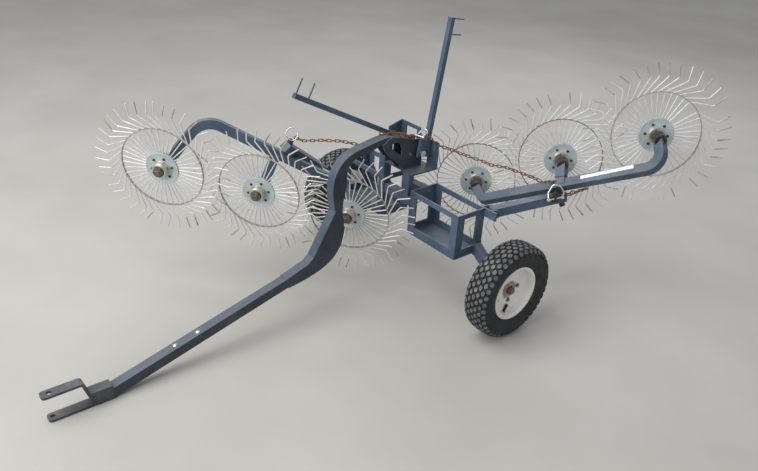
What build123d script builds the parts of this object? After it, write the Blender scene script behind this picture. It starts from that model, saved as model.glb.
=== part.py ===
"""Tow-behind wheel rake with two gangs of three finger wheels, carried raised for transport."""
import os
from math import atan2, cos, degrees, radians, sin

from build123d import *

# Millimetres. +X is the machine's left, +Y its rear, +Z up.
# The origin is the middle of the upright hitch pin, low at the front end of the drawbar.

# Where the axle lies behind the hitch pin, and how far the pin is to the left of its middle
AXLE_Y = 1651.0
HITCH_X = 50.0

# Running gear
TRACK = 1125.0
TYRE_R = 203.0
TYRE_W = 115.0
BEAD_R = 103.0
BEAD_W = 78.0
RIM_R = 116.5
RIM_WALL = 4.0
HUB_R = 24.0
HUB_IN = 42.0
HUB_OUT = 12.0
AXLE_R = 12.5
NUT_R = 18.0
NUT_T = 12.0
RUN_GAP = 0.3

# Square tubes and plates
TUBE = 38.0
BAR = 40.0
ARCH_W = 44.0
PLATE = 6.0
LEVER_TUBE = 20.0

# Hitch clevis: reaches are measured along the machine from the pin
CLEVIS_HIGH = 110.0
CLEVIS_T = 10.0
CLEVIS_W = 40.0
CLEVIS_BORE = 9.0
CLEVIS_CORNER = 12.0
LOW_REACH = 17.0
TOP_REACH = 28.0
BACK_TOP = 112.0
BACK_LOW = 143.0
SOCKET_W = 44.0
SOCKET_HIGH = 58.0
SOCKET_REAR = 203.0
# The clevis rests on the ground, on its lower prong
PIN_HEIGHT = CLEVIS_HIGH / 2

# Weight baskets
BASKET_IN = 88.0
BASKET_OUT = 375.0
BASKET_FRONT = -134.0
BASKET_REAR = 15.0
BASKET_LOW = 286.0
BASKET_TOP = 484.0
RAIL = 38.0
TOP_RAIL = 22.0

# Finger wheels
WHEEL_STEP = 392.0
WHEEL_TURN = 16.9
DISC_R = 69.6
DISC_T = 3.0
RING_R = 171.0
RING_W = 6.0
RING_T = 10.0
ELBOW_R = 232.5
TIP_R = 287.0
ELBOW_SWEEP = -19.5
TIP_SWEEP = -17.0
TINES = 40
TINE = 5.0
HOUSING_R = 33.0
HOUSING_REAR = 16.0
HOUSING_NOSE = 34.0
SPINDLE_R = 12.5
COLLAR_R = 24.0
COLLAR_NEAR = 24.0
SPINDLE_END = 82.0

os.makedirs("parts", exist_ok=True)


def site(x, y, z):
    """A place measured from the ground under the middle of the axle."""
    return Vector(x - HITCH_X, y + AXLE_Y, z - PIN_HEIGHT)


def keep(part, name):
    part.label = name
    export_step(part, f"parts/{name}.step")


def beam(start, end, width, depth, up=(0, 0, 1), mode=Mode.ADD):
    """A straight square-cut bar, its depth turned toward up."""
    run = end - start
    with BuildSketch(Plane(origin=start, x_dir=run.cross(Vector(*up)), z_dir=run)) as section:
        Rectangle(width, depth)
    extrude(section.sketch, amount=run.length, mode=mode)


def rod(start, end, radius, mode=Mode.ADD):
    run = end - start
    with BuildSketch(Plane(origin=start, z_dir=run)) as section:
        Circle(radius)
    extrude(section.sketch, amount=run.length, mode=mode)


def block(low, high, mode=Mode.ADD):
    """An upright box between two corners measured from the ground under the axle."""
    size = [b - a for a, b in zip(low, high)]
    middle = [(a + b) / 2 for a, b in zip(low, high)]
    with BuildSketch(Plane.XY.offset(low[2] - PIN_HEIGHT)) as section:
        with Locations((middle[0] - HITCH_X, middle[1] + AXLE_Y)):
            Rectangle(size[0], size[1])
    extrude(section.sketch, amount=size[2], mode=mode)


def side_plate(outline, x, thickness):
    """A plate standing lengthwise, its outline given as (y, z) from the ground under the axle."""
    face = Plane(origin=site(x, 0, 0), x_dir=(0, 1, 0), z_dir=(1, 0, 0))
    with BuildSketch(face) as section:
        Polygon(*outline, align=None)
    extrude(section.sketch, amount=thickness)


# Hitch clevis: a flat bar bent to a U that stands upright, the lower prong on the ground
CLEVIS_SIDE = (
    (-TOP_REACH, PIN_HEIGHT), (BACK_TOP - 8, PIN_HEIGHT), (BACK_TOP, PIN_HEIGHT - 6), (BACK_LOW, -PIN_HEIGHT),
    (-LOW_REACH, -PIN_HEIGHT), (-LOW_REACH, CLEVIS_T - PIN_HEIGHT), (BACK_LOW - 13, CLEVIS_T - PIN_HEIGHT),
    (BACK_TOP - 12, PIN_HEIGHT - CLEVIS_T), (-TOP_REACH, PIN_HEIGHT - CLEVIS_T),
)
with BuildPart() as hitch_clevis:
    with BuildSketch(Plane.YZ.offset(-CLEVIS_W / 2)):
        Polygon(*CLEVIS_SIDE, align=None)
    extrude(amount=CLEVIS_W)
    for reach in (TOP_REACH, LOW_REACH):
        tips = hitch_clevis.edges().filter_by(Axis.Z).filter_by_position(Axis.Y, -reach - 0.1, -reach + 0.1)
        fillet(tips, CLEVIS_CORNER)
    with BuildSketch(Plane.XY.offset(-PIN_HEIGHT)):
        Circle(CLEVIS_BORE)
    extrude(amount=CLEVIS_HIGH, mode=Mode.SUBTRACT)
keep(hitch_clevis.part, "hitch_clevis")

# Socket block behind the clevis, then the tube, which bears to the right as it rises to the arch
with BuildPart() as drawbar_socket:
    with BuildSketch(Plane.XY.offset(-PIN_HEIGHT)):
        with Locations((0, (BACK_TOP + SOCKET_REAR) / 2)):
            Rectangle(SOCKET_W, SOCKET_REAR - BACK_TOP)
    extrude(amount=SOCKET_HIGH)
    with BuildSketch(Plane.YZ.offset(-SOCKET_W / 2)):
        Polygon((0, -PIN_HEIGHT), (BACK_LOW, -PIN_HEIGHT), (BACK_TOP, PIN_HEIGHT - 6), (0, PIN_HEIGHT), align=None)
    extrude(amount=SOCKET_W, mode=Mode.SUBTRACT)
keep(drawbar_socket.part, "drawbar_socket")
BAR_START = Vector(0, SOCKET_REAR - 12, BAR / 2 - PIN_HEIGHT + 1)
BAR_END = site(0, -700, 186)
bar_run = (BAR_END - BAR_START).normalized()

# Arch: a deep curved box section from the tube up and over to the tower, outlined as (y, z)
bar_rise = Vector(0, bar_run.Y, bar_run.Z).normalized()
arch_foot = (BAR_END.Y - AXLE_Y, BAR_END.Z + PIN_HEIGHT)
FOOT_TOP = (arch_foot[0] - bar_rise.Z * ARCH_W / 2, arch_foot[1] + bar_rise.Y * ARCH_W / 2)
FOOT_LOW = (arch_foot[0] + bar_rise.Z * ARCH_W / 2, arch_foot[1] - bar_rise.Y * ARCH_W / 2)
ARCH_HEEL = (-600, 244)
ARCH_NECK = (-474, 445)
ARCH_TOP = (ARCH_NECK, (-482, 482), (-488, 525), (-487, 564), (-479, 600), (-461, 634), (-435, 661), (-397, 681),
            (-348, 693), (-288, 705), (-235, 713), (-205, 714), (-162, 705), (-106, 687))
ARCH_UNDER = ((-110, 668), (-165, 685), (-225, 691), (-266, 684), (-310, 669), (-358, 662), (-401, 644),
              (-421, 608), (-422, 570), (-425, 529), (-434, 490), (-439, 451), (-433, 410), (-427, 360),
              (-433, 308), (-453, 265), (-487, 228), (-535, 202), (-600, 181), FOOT_LOW)
with BuildPart() as drawbar_arch:
    with BuildSketch(Plane(origin=site(-ARCH_W / 2, 0, 0), x_dir=(0, 1, 0), z_dir=(1, 0, 0))):
        with BuildLine():
            Polyline(FOOT_TOP, ARCH_HEEL, (-576, 266), ARCH_NECK)
            Spline(*ARCH_TOP)
            Line(ARCH_TOP[-1], ARCH_UNDER[0])
            Spline(*ARCH_UNDER)
            Line(FOOT_LOW, FOOT_TOP)
        make_face()
    extrude(amount=ARCH_W)
keep(drawbar_arch.part, "drawbar_arch")
with BuildPart() as drawbar_tube:
    beam(BAR_START, BAR_END + bar_run * 6, BAR, BAR)
    add(drawbar_socket.part, mode=Mode.SUBTRACT)
    add(drawbar_arch.part, mode=Mode.SUBTRACT)
keep(drawbar_tube.part, "drawbar_tube")

# Tower: two side webs with openings under the rear end of the arch
WEB_IN = ARCH_W / 2
WEB = ((-250, 686), (-205, 714), (-162, 705), (-106, 687), (-32, 673), (-32, 555), (-128, 555), (-165, 593),
       (-208, 624), (-238, 660))
WEB_D_HOLE = ((-216, 676), (-188, 688), (-160, 680), (-146, 652), (-148, 624), (-180, 645))
for side, sign in (("left", 1), ("right", -1)):
    x = WEB_IN if sign > 0 else -WEB_IN - PLATE
    with BuildPart() as web:
        side_plate(WEB, x, PLATE)
        face = Plane(origin=site(x, 0, 0), x_dir=(0, 1, 0), z_dir=(1, 0, 0))
        with BuildSketch(face):
            Polygon(*WEB_D_HOLE, align=None)
        extrude(amount=PLATE, mode=Mode.SUBTRACT)
    keep(web.part, f"{side}_tower_web")

# Tower floor. Each lever bracket is a rear wall on it and a post, the left one below it, the right one beside it.
# The right wall is taller and wider, with a window, and has a side plate with a sloping top.
SHELF_IN = WEB_IN + PLATE
SHELF_OUT = 90.0
SHELF_Z = 555.0
SHELF_FRONT = BASKET_FRONT
SHELF_REAR = 5.0
WALL_TOP = 668.0
FRAME_OUT = 155.0
FRAME_TOP = 700.0
FRAME_RAIL = 16.0
FRAME_DEEP = 75.0
MEMBER_Z = 430.0
with BuildPart() as tower_floor:
    block((-SHELF_OUT, SHELF_FRONT, SHELF_Z - PLATE), (SHELF_OUT, SHELF_REAR, SHELF_Z))
keep(tower_floor.part, "tower_floor")
POSTS = {
    # side: near and far x, rear y, foot and top
    "left": (33.0, 71.0, SHELF_FRONT + 26, MEMBER_Z + TUBE / 2, SHELF_Z - PLATE),
    "right": (-SHELF_OUT - TUBE, -SHELF_OUT, SHELF_FRONT + TUBE, BASKET_TOP, SHELF_Z + 65),
}
for side, sign in (("left", 1), ("right", -1)):
    near, far, rear, foot, top = POSTS[side]
    with BuildPart() as bracket:
        if side == "left":
            block((SHELF_IN, SHELF_REAR - PLATE, SHELF_Z), (SHELF_OUT, SHELF_REAR, WALL_TOP))
        else:
            block((-FRAME_OUT, SHELF_REAR - PLATE, SHELF_Z), (-SHELF_IN, SHELF_REAR, FRAME_TOP))
            block((-FRAME_OUT + TUBE, SHELF_REAR - 3 * PLATE, WALL_TOP - 30),
                  (-SHELF_IN - TUBE / 2, SHELF_REAR + PLATE, FRAME_TOP - FRAME_RAIL), mode=Mode.SUBTRACT)
            side_plate(((SHELF_REAR, SHELF_Z), (SHELF_REAR, FRAME_TOP), (SHELF_REAR - FRAME_DEEP, FRAME_TOP - 21),
                        (SHELF_REAR - FRAME_DEEP, WALL_TOP - 30)), -FRAME_OUT, PLATE)
        block((near, SHELF_FRONT, foot), (far, rear, top))
    keep(bracket.part, f"{side}_lever_bracket")

# Weight baskets: open boxes of plate with a window in each wall
BASKET_WIDE = BASKET_OUT - BASKET_IN
BASKET_DEEP = BASKET_REAR - BASKET_FRONT
BASKET_HIGH = BASKET_TOP - BASKET_LOW
for side, sign in (("left", 1), ("right", -1)):
    centre_x = sign * (BASKET_IN + BASKET_OUT) / 2 - HITCH_X
    centre_y = AXLE_Y + (BASKET_FRONT + BASKET_REAR) / 2
    low = BASKET_LOW - PIN_HEIGHT
    window_high = BASKET_HIGH - RAIL - TOP_RAIL
    window_z = low + RAIL + window_high / 2
    with BuildPart() as basket:
        with BuildSketch(Plane.XY.offset(low)):
            with Locations((centre_x, centre_y)):
                Rectangle(BASKET_WIDE, BASKET_DEEP)
        extrude(amount=BASKET_HIGH)
        with BuildSketch(Plane.XY.offset(low + PLATE)):
            with Locations((centre_x, centre_y)):
                Rectangle(BASKET_WIDE - 2 * PLATE, BASKET_DEEP - 2 * PLATE)
        extrude(amount=BASKET_HIGH, mode=Mode.SUBTRACT)
        with BuildSketch(Plane.XZ.offset(-centre_y)):
            with Locations((centre_x, window_z)):
                Rectangle(BASKET_WIDE - 2 * RAIL, window_high)
        extrude(amount=BASKET_DEEP, both=True, mode=Mode.SUBTRACT)
        with BuildSketch(Plane.YZ.offset(centre_x)):
            with Locations((centre_y, window_z)):
                Rectangle(BASKET_DEEP - 2 * RAIL, window_high)
        extrude(amount=BASKET_WIDE, both=True, mode=Mode.SUBTRACT)
    keep(basket.part, f"{side}_basket")

# Cross members between the baskets
with BuildPart() as cross_members:
    for y in (BASKET_FRONT + TUBE / 2, BASKET_REAR - TUBE / 2):
        beam(site(-BASKET_IN, y, MEMBER_Z), site(BASKET_IN, y, MEMBER_Z), TUBE, TUBE)
keep(cross_members.part, "cross_members")

# Axle legs and stub axles
STUB_IN = TRACK / 2 - HUB_IN - 24
STUB_OUT = TRACK / 2 + HUB_OUT + RUN_GAP
for side, sign in (("left", 1), ("right", -1)):
    with BuildPart() as leg:
        leg_top = site(sign * (BASKET_OUT - 20), -6, 322)
        beam(leg_top, site(sign * (STUB_IN + 4), 0, TYRE_R + 8), TUBE, TUBE, up=(0, 1, 0))
        wall = sorted((sign * BASKET_IN, sign * BASKET_OUT))
        block((wall[0], BASKET_FRONT, BASKET_LOW), (wall[1], BASKET_REAR, BASKET_TOP), mode=Mode.SUBTRACT)
        rod(site(sign * STUB_IN, 0, TYRE_R), site(sign * (STUB_OUT + 16), 0, TYRE_R), AXLE_R)
        rod(site(sign * STUB_IN, 0, TYRE_R), site(sign * (TRACK / 2 - HUB_IN - RUN_GAP), 0, TYRE_R), 22)
    keep(leg.part, f"{side}_axle_leg")
with BuildPart() as axle_nuts:
    for sign in (1, -1):
        with BuildSketch(Plane(origin=site(sign * STUB_OUT, 0, TYRE_R), x_dir=(0, 1, 0), z_dir=(sign, 0, 0))) as nut:
            RegularPolygon(NUT_R, 6)
            Circle(AXLE_R, mode=Mode.SUBTRACT)
        extrude(nut.sketch, amount=NUT_T)
keep(axle_nuts.part, "axle_nuts")

# Road wheels: half sections turned about the axle, (offset across the wheel, radius)
TYRE_HALF = ((-36, BEAD_R), (-39, 112), (-52, 132), (-57.5, 158), (-54, 184), (-46, 196), (-24, TYRE_R),
             (24, TYRE_R), (46, 196), (54, 184), (57.5, 158), (52, 132), (39, 112), (36, BEAD_R))
RIM_HALF = ((-46, 108), (-46, RIM_R), (-42, RIM_R), (-39.4, 111), (-36.4, 102.6), (36.4, 102.6), (39.4, 111),
            (42, RIM_R), (46, RIM_R), (46, 108), (40, 98), (14, 94), (8, 60), (9, 38), (9, HUB_R),
            (HUB_OUT, HUB_R), (HUB_OUT, AXLE_R + RUN_GAP), (-HUB_IN, AXLE_R + RUN_GAP),
            (-HUB_IN, HUB_R), (4, HUB_R), (4, 38), (3, 58), (9, 96), (-40, 98))
for side, sign in (("left", 1), ("right", -1)):
    turning = Plane(origin=site(sign * TRACK / 2, 0, TYRE_R), x_dir=(sign, 0, 0), z_dir=(0, -sign, 0))
    spin = Axis(origin=site(sign * TRACK / 2, 0, TYRE_R), direction=(1, 0, 0))
    with BuildPart() as tyre:
        with BuildSketch(turning):
            Polygon(*TYRE_HALF, align=None)
        revolve(axis=spin)
    keep(tyre.part, f"{side}_tyre")
    with BuildPart() as rim:
        with BuildSketch(turning):
            Polygon(*RIM_HALF, align=None)
        revolve(axis=spin)
    keep(rim.part, f"{side}_rim")

# Lift levers: pivot beside the web, tube set off from the pivot, two prongs at the hand end
PIVOT_Y = -55.0
PIVOT_Z = 622.0
LEVER_X = SHELF_IN + 6 + LEVER_TUBE / 2
LEVER_SET = 24.0
LEVER_PIN_R = 8.0
PRONG_LEN = 62.0
PRONG_GAP = 62.0
LEVERS = (
    # side, sign, lean back from upright in degrees, reach from the pivot
    ("left", 1, 8.1, 560.0),
    ("right", -1, -63.5, 655.0),
)
for side, sign, lean, reach in LEVERS:
    along = Vector(0, sin(radians(lean)), cos(radians(lean)))
    back = Vector(0, cos(radians(lean)), -sin(radians(lean)))
    pivot = site(sign * LEVER_X, PIVOT_Y, PIVOT_Z)
    with BuildPart() as lever:
        offset = pivot + back * LEVER_SET
        beam(offset + along * 14, offset + along * reach, LEVER_TUBE, LEVER_TUBE)
        beam(pivot + back * 9 - along * 18, pivot + back * 9 + along * 62, 12, 54, up=tuple(back))
        for at_reach in (reach - 5, reach - 5 - PRONG_GAP):
            start = pivot + along * at_reach + back * (LEVER_SET + 8)
            rod(start, start + back * PRONG_LEN, 3)
        with BuildSketch(Plane(origin=pivot - Vector(50, 0, 0), z_dir=(1, 0, 0))):
            Circle(LEVER_PIN_R + RUN_GAP)
        extrude(amount=100, mode=Mode.SUBTRACT)
    keep(lever.part, f"{side}_lift_lever")
with BuildPart() as lever_pins:
    for sign in (1, -1):
        rod(site(sign * SHELF_IN, PIVOT_Y, PIVOT_Z), site(sign * (LEVER_X + 22), PIVOT_Y, PIVOT_Z), LEVER_PIN_R)
        rod(site(sign * (LEVER_X + 8), PIVOT_Y, PIVOT_Z), site(sign * (LEVER_X + 18), PIVOT_Y, PIVOT_Z), 14)
keep(lever_pins.part, "lever_pins")

# Gangs. Each is laid out from its middle hub: first along the row, second across, third toward the bar.
BAR_OFF = 130.0
STUB_OFF = 57.0
GANGS = {
    "right": {
        "hub": (-271.3, -651.1, 464.2),
        "row": (0.5006, 0.8213, -0.2735),
        "barward": (-0.7976, 0.5604, 0.2230),
        "wheels": ("outer", "middle", "inner"),
        "bar": ((-375, 0, STUB_OFF), (-285, -194, BAR_OFF), (360, -42, BAR_OFF), (409, 0, STUB_OFF)),
        "bends": (90, 34),
        "stub": ((17, 0, STUB_OFF), (35, -117, BAR_OFF)),
        "pin": (75, BAR_OFF),
        "arm_root": (-352.0, -172.0, 300.0),
        "arm_lead": (-0.35, -0.937),
        "arm_knee": (85.0, 134.0),
    },
    "left": {
        "hub": (415.1, 403.2, 628.4),
        "row": (0.7857, 0.4156, 0.4583),
        "barward": (0.5093, -0.8551, -0.0976),
        "wheels": ("inner", "middle", "outer"),
        "bar": ((-375, 0, STUB_OFF), (-345, -44, BAR_OFF - 8), (405, -82, BAR_OFF), (409, 0, STUB_OFF)),
        "bends": (26, 64),
        "stub": ((17, 0, STUB_OFF), (5, -62, BAR_OFF)),
        "pin": (-20, BAR_OFF),
        "arm_root": (392.0, 53.0, 465.0),
        "arm_lead": None,
        "arm_knee": None,
    },
}
ARM_DROP = 50.0
FORK_T = 8.0
FORK_GAP = 1.0
FOOT_W = 88.0
FOOT_HIGH = 36.0
ARM_PIN_R = 9.0
GANG_PIN_R = 8.0

# One tine in the plane of its wheel: radial out to the ring, swept back to the elbow, then out to the tip
TINE_START = 56.0
TINE_BENDS = [Vector(TINE_START + TINE / 2, 0)]
for radius, sweep_angle in ((RING_R, 0), (ELBOW_R, ELBOW_SWEEP), (TIP_R, TIP_SWEEP)):
    TINE_BENDS.append(Vector(radius * cos(radians(sweep_angle)), radius * sin(radians(sweep_angle))))
TINE_RUNS = []
for start, end in zip(TINE_BENDS, TINE_BENDS[1:]):
    run = end - start
    middle = (start + end) * 0.5
    TINE_RUNS.append(((middle.X, middle.Y), run.length, degrees(atan2(run.Y, run.X))))

for side, gang in GANGS.items():
    frame = Plane(origin=site(*gang["hub"]), x_dir=gang["row"], z_dir=gang["barward"])

    def place(point):
        return frame.from_local_coords(Vector(*point))

    turn = radians(WHEEL_TURN)
    barward = frame.x_dir * sin(turn) + frame.z_dir * cos(turn)
    rowward = frame.x_dir * cos(turn) - frame.z_dir * sin(turn)
    hubs = [place((step * WHEEL_STEP, 0, 0)) for step in (-1, 0, 1)]

    # Gang bar with bent ends and a middle stub, bored where the spindles stand in it
    route = [place(point) for point in gang["bar"]]
    with BuildPart() as bar:
        with BuildLine() as path:
            FilletPolyline(*route, radius=gang["bends"])
        first = route[1] - route[0]
        flat = first.cross(route[2] - route[1])
        with BuildSketch(Plane(origin=route[0], x_dir=flat, z_dir=first)) as section:
            Rectangle(TUBE, TUBE)
        sweep(section.sketch, path=path.wire())
        beam(place(gang["stub"][0]), place(gang["stub"][1]), TUBE, TUBE, up=tuple(frame.x_dir))
        for hub in hubs:
            rod(hub + barward * COLLAR_NEAR, hub + barward * SPINDLE_END, COLLAR_R, mode=Mode.SUBTRACT)
    keep(bar.solids().sort_by(SortBy.VOLUME)[-1], f"{side}_gang_bar")

    # Arm from the basket corner to the gang pin, turning between the ears of a fork on the basket.
    # It heads along arm_lead, or straight at the gang pin where that is None.
    along_row, off = gang["pin"]
    (bar_from, bar_to) = gang["bar"][1:3]
    share = (along_row - bar_from[0]) / (bar_to[0] - bar_from[0])
    bar_across = bar_from[1] + share * (bar_to[1] - bar_from[1])
    root = site(*gang["arm_root"])
    tip = place((along_row, bar_across - ARM_DROP, off))
    level = Vector(*(gang["arm_lead"] or (tip.X - root.X, tip.Y - root.Y)), 0).normalized()
    hinge = Vector(-level.Y, level.X, 0)
    corners = [root]
    if gang["arm_knee"]:
        knee_out, knee_up = gang["arm_knee"]
        corners.append(root + level * knee_out + Vector(0, 0, knee_up))
    corners.append(tip + (tip - corners[-1]).normalized() * 26)
    first = (corners[1] - corners[0]).normalized()
    with BuildPart() as arm:
        with BuildLine() as path:
            if gang["arm_knee"]:
                FilletPolyline(*corners, radius=34)
            else:
                Line(*corners)
        with BuildSketch(Plane(origin=root, x_dir=hinge, z_dir=first)) as section:
            Rectangle(TUBE, TUBE)
        sweep(section.sketch, path=path.wire())
        rod(root - hinge * (TUBE / 2), root + hinge * (TUBE / 2), TUBE / 2)
        rod(root - hinge * TUBE, root + hinge * TUBE, ARM_PIN_R + RUN_GAP, mode=Mode.SUBTRACT)
        add(bar.part, mode=Mode.SUBTRACT)
    keep(arm.part, f"{side}_arm")
    fork_x, _, fork_z = gang["arm_root"]
    wall_y, out = (BASKET_REAR, 1) if side == "left" else (BASKET_FRONT, -1)
    foot = sorted((wall_y, wall_y + out * FORK_T))
    foot_low = (fork_x - FOOT_W / 2, foot[0], fork_z - FOOT_HIGH / 2)
    foot_high = (fork_x + FOOT_W / 2, foot[1], fork_z + FOOT_HIGH / 2)
    inside = sorted((wall_y, wall_y - out * 90))
    with BuildPart() as fork:
        for gap_side in (-1, 1):
            near = root + hinge * (gap_side * (TUBE / 2 + FORK_GAP))
            with BuildSketch(Plane(origin=near, x_dir=level, z_dir=hinge * gap_side)) as ear:
                with Locations((-30, 0)):
                    Rectangle(60, FOOT_HIGH)
                Circle(FOOT_HIGH / 2)
            extrude(ear.sketch, amount=FORK_T)
        rod(root - hinge * (TUBE / 2 + 14), root + hinge * (TUBE / 2 + 14), ARM_PIN_R)
        block(foot_low, foot_high)
        block((fork_x - 80, inside[0], fork_z - 40), (fork_x + 80, inside[1], fork_z + 40), mode=Mode.SUBTRACT)
    keep(fork.part, f"{side}_arm_fork")

    # Pin through bar and arm, with its head and a spacer between them
    pin_up = (place((0, -1, 0)) - place((0, 0, 0))).normalized()
    seat = place((along_row, bar_across, off))
    with BuildPart() as gang_pin:
        rod(seat + pin_up * (TUBE / 2), seat + pin_up * (ARM_DROP - TUBE / 2), 15)
        rod(seat + pin_up * (ARM_DROP + TUBE / 2 - 4), seat + pin_up * (ARM_DROP + TUBE / 2 + 22), 12)
        add(arm.part, mode=Mode.SUBTRACT)
        add(bar.part, mode=Mode.SUBTRACT)
    keep(gang_pin.part, f"{side}_gang_pin")

    # Wheels, their spindles and nuts
    with BuildPart() as spindles:
        for hub in hubs:
            rod(hub + barward * SPINDLE_END, hub - barward * (HOUSING_NOSE + 18), SPINDLE_R)
            rod(hub + barward * SPINDLE_END, hub + barward * COLLAR_NEAR, COLLAR_R)
            rod(hub - barward * (HOUSING_NOSE + 1), hub - barward * (HOUSING_NOSE + 12), 22)
    keep(spindles.part, f"{side}_spindles")
    for hub, name in zip(hubs, gang["wheels"]):
        face = Plane(origin=hub, x_dir=rowward, z_dir=barward)
        with BuildPart() as hub_part:
            for low in (-TINE / 2 - DISC_T, TINE / 2):
                with BuildSketch(face.offset(low)):
                    Circle(DISC_R)
                extrude(amount=DISC_T)
            with BuildSketch(face.offset(-TINE / 2)):
                Circle(TINE_START)
            extrude(amount=TINE)
            with BuildSketch(face.offset(-HOUSING_NOSE)):
                Circle(HOUSING_R)
            extrude(amount=HOUSING_NOSE + HOUSING_REAR)
            with BuildSketch(face.offset(-HOUSING_NOSE)):
                Circle(SPINDLE_R + RUN_GAP)
            extrude(amount=HOUSING_NOSE + HOUSING_REAR, mode=Mode.SUBTRACT)
        keep(hub_part.part, f"{side}_{name}_hub")
        with BuildPart() as rake:
            with BuildSketch(face.offset(-RING_T / 2)):
                Circle(RING_R + RING_W / 2)
                Circle(RING_R - RING_W / 2, mode=Mode.SUBTRACT)
            extrude(amount=RING_T)
            with BuildSketch(face.offset(-TINE / 2)):
                with PolarLocations(0, TINES):
                    for middle, length, slant in TINE_RUNS:
                        with Locations(Location((*middle, 0), (0, 0, slant))):
                            SlotOverall(length + TINE, TINE)
            extrude(amount=TINE)
        keep(rake.part, f"{side}_{name}_tines")
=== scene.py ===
import random
from math import cos, pi, radians, sin, tan

import bmesh
import bpy
from mathutils import Matrix, Vector


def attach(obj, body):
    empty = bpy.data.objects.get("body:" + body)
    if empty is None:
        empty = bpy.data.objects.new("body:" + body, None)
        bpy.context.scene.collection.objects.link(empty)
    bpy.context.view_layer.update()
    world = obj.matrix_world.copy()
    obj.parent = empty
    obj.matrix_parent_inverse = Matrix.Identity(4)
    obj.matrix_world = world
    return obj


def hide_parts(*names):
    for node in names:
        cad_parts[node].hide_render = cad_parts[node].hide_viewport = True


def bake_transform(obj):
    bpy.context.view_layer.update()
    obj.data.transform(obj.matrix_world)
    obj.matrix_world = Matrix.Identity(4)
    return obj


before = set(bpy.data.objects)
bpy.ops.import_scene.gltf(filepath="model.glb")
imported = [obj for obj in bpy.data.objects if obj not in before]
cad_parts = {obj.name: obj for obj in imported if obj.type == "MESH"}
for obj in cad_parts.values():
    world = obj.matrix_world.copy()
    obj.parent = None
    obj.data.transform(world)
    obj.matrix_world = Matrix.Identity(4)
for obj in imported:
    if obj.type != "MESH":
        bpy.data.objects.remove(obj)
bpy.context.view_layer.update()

random.seed(7)

# Driving dimensions in metres, the same as the part's own
AXLE_Y = 1.651
HITCH_X = 0.050
PIN_HEIGHT = 0.055
TRACK = 1.125
TYRE_R = 0.203

SIDES = (("left", 1), ("right", -1))
X = Vector((1, 0, 0))
Z = Vector((0, 0, 1))


def site(x, y, z):
    """A place measured from the ground under the middle of the axle."""
    return Vector((x - HITCH_X, y + AXLE_Y, z - PIN_HEIGHT))


def sites(points):
    return [site(*point) for point in points]


# Camera, at the photograph's place and angle
PHOTO_W = 758
FOCAL_PX = 755.71
SENSOR_W = 36.0
CAMERA_PLACE = (2.18655, -2.10414, 1.8116)
CAMERA_RIGHT = Vector((0.6281821, 0.7758922, 0.0581250))
CAMERA_UP = Vector((-0.4017042, 0.2594369, 0.8782518))
CAMERA_AHEAD = Vector((-0.6663490, 0.5750511, -0.4746528))


def add_camera():
    data = bpy.data.cameras.new("camera")
    data.sensor_fit = "HORIZONTAL"
    data.sensor_width = SENSOR_W
    data.lens = SENSOR_W * FOCAL_PX / PHOTO_W
    data.clip_end = 60
    camera = bpy.data.objects.new("camera", data)
    bpy.context.collection.objects.link(camera)
    turn = Matrix((CAMERA_RIGHT, CAMERA_UP, -CAMERA_AHEAD)).transposed().to_4x4()
    camera.matrix_world = Matrix.Translation(site(*CAMERA_PLACE)) @ turn
    bpy.context.scene.camera = camera


add_camera()


# Node helpers
def new_material(name):
    mat = bpy.data.materials.new(name)
    mat.use_nodes = True
    tree = mat.node_tree
    tree.nodes.clear()
    out = tree.nodes.new("ShaderNodeOutputMaterial")
    shader = tree.nodes.new("ShaderNodeBsdfPrincipled")
    tree.links.new(shader.outputs[0], out.inputs[0])
    return mat, tree, shader


def grey(level):
    return (level, level, level)


def feed(tree, value, socket):
    """Links a node's output to a socket, or sets a plain colour or number there."""
    if hasattr(value, "is_linked"):
        tree.links.new(value, socket)
    elif isinstance(value, tuple):
        socket.default_value = (*value, 1)
    else:
        socket.default_value = value


def coords(tree, scale=(1, 1, 1), turn=(0, 0, 0)):
    tex = tree.nodes.new("ShaderNodeTexCoord")
    mapping = tree.nodes.new("ShaderNodeMapping")
    mapping.inputs["Scale"].default_value = scale
    mapping.inputs["Rotation"].default_value = turn
    tree.links.new(tex.outputs["Object"], mapping.inputs["Vector"])
    return mapping.outputs["Vector"]


def noise(tree, where, scale, detail=4.0, rough=0.55):
    node = tree.nodes.new("ShaderNodeTexNoise")
    node.inputs["Scale"].default_value = scale
    node.inputs["Detail"].default_value = detail
    node.inputs["Roughness"].default_value = rough
    tree.links.new(where, node.inputs["Vector"])
    return node.outputs["Fac"]


def ramp(tree, fac, *stops):
    """Colours that follow a value; each stop is (value, colour)."""
    node = tree.nodes.new("ShaderNodeValToRGB")
    ends = node.color_ramp.elements
    while len(ends) < len(stops):
        ends.new(0.5)
    for end, (place, color) in zip(ends, stops):
        end.position = place
        end.color = (*color, 1)
    tree.links.new(fac, node.inputs["Fac"])
    return node.outputs["Color"]


def mottle(tree, where, grain, *stops):
    """Uneven patches: noise with a grain of (scale, detail, roughness), coloured by the stops."""
    return ramp(tree, noise(tree, where, *grain), *stops)


def mix(tree, fac, a, b):
    node = tree.nodes.new("ShaderNodeMix")
    node.data_type = "RGBA"
    feed(tree, fac, node.inputs[0])
    feed(tree, a, node.inputs[6])
    feed(tree, b, node.inputs[7])
    return node.outputs[2]


def combine(tree, kind, a, b=0.0):
    node = tree.nodes.new("ShaderNodeMath")
    node.operation = kind
    feed(tree, a, node.inputs[0])
    feed(tree, b, node.inputs[1])
    return node.outputs[0]


def facing(tree, part):
    """One part, X, Y or Z, of the direction that the surface faces."""
    geo = tree.nodes.new("ShaderNodeNewGeometry")
    split = tree.nodes.new("ShaderNodeSeparateXYZ")
    tree.links.new(geo.outputs["Normal"], split.inputs[0])
    return split.outputs[part]


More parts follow.
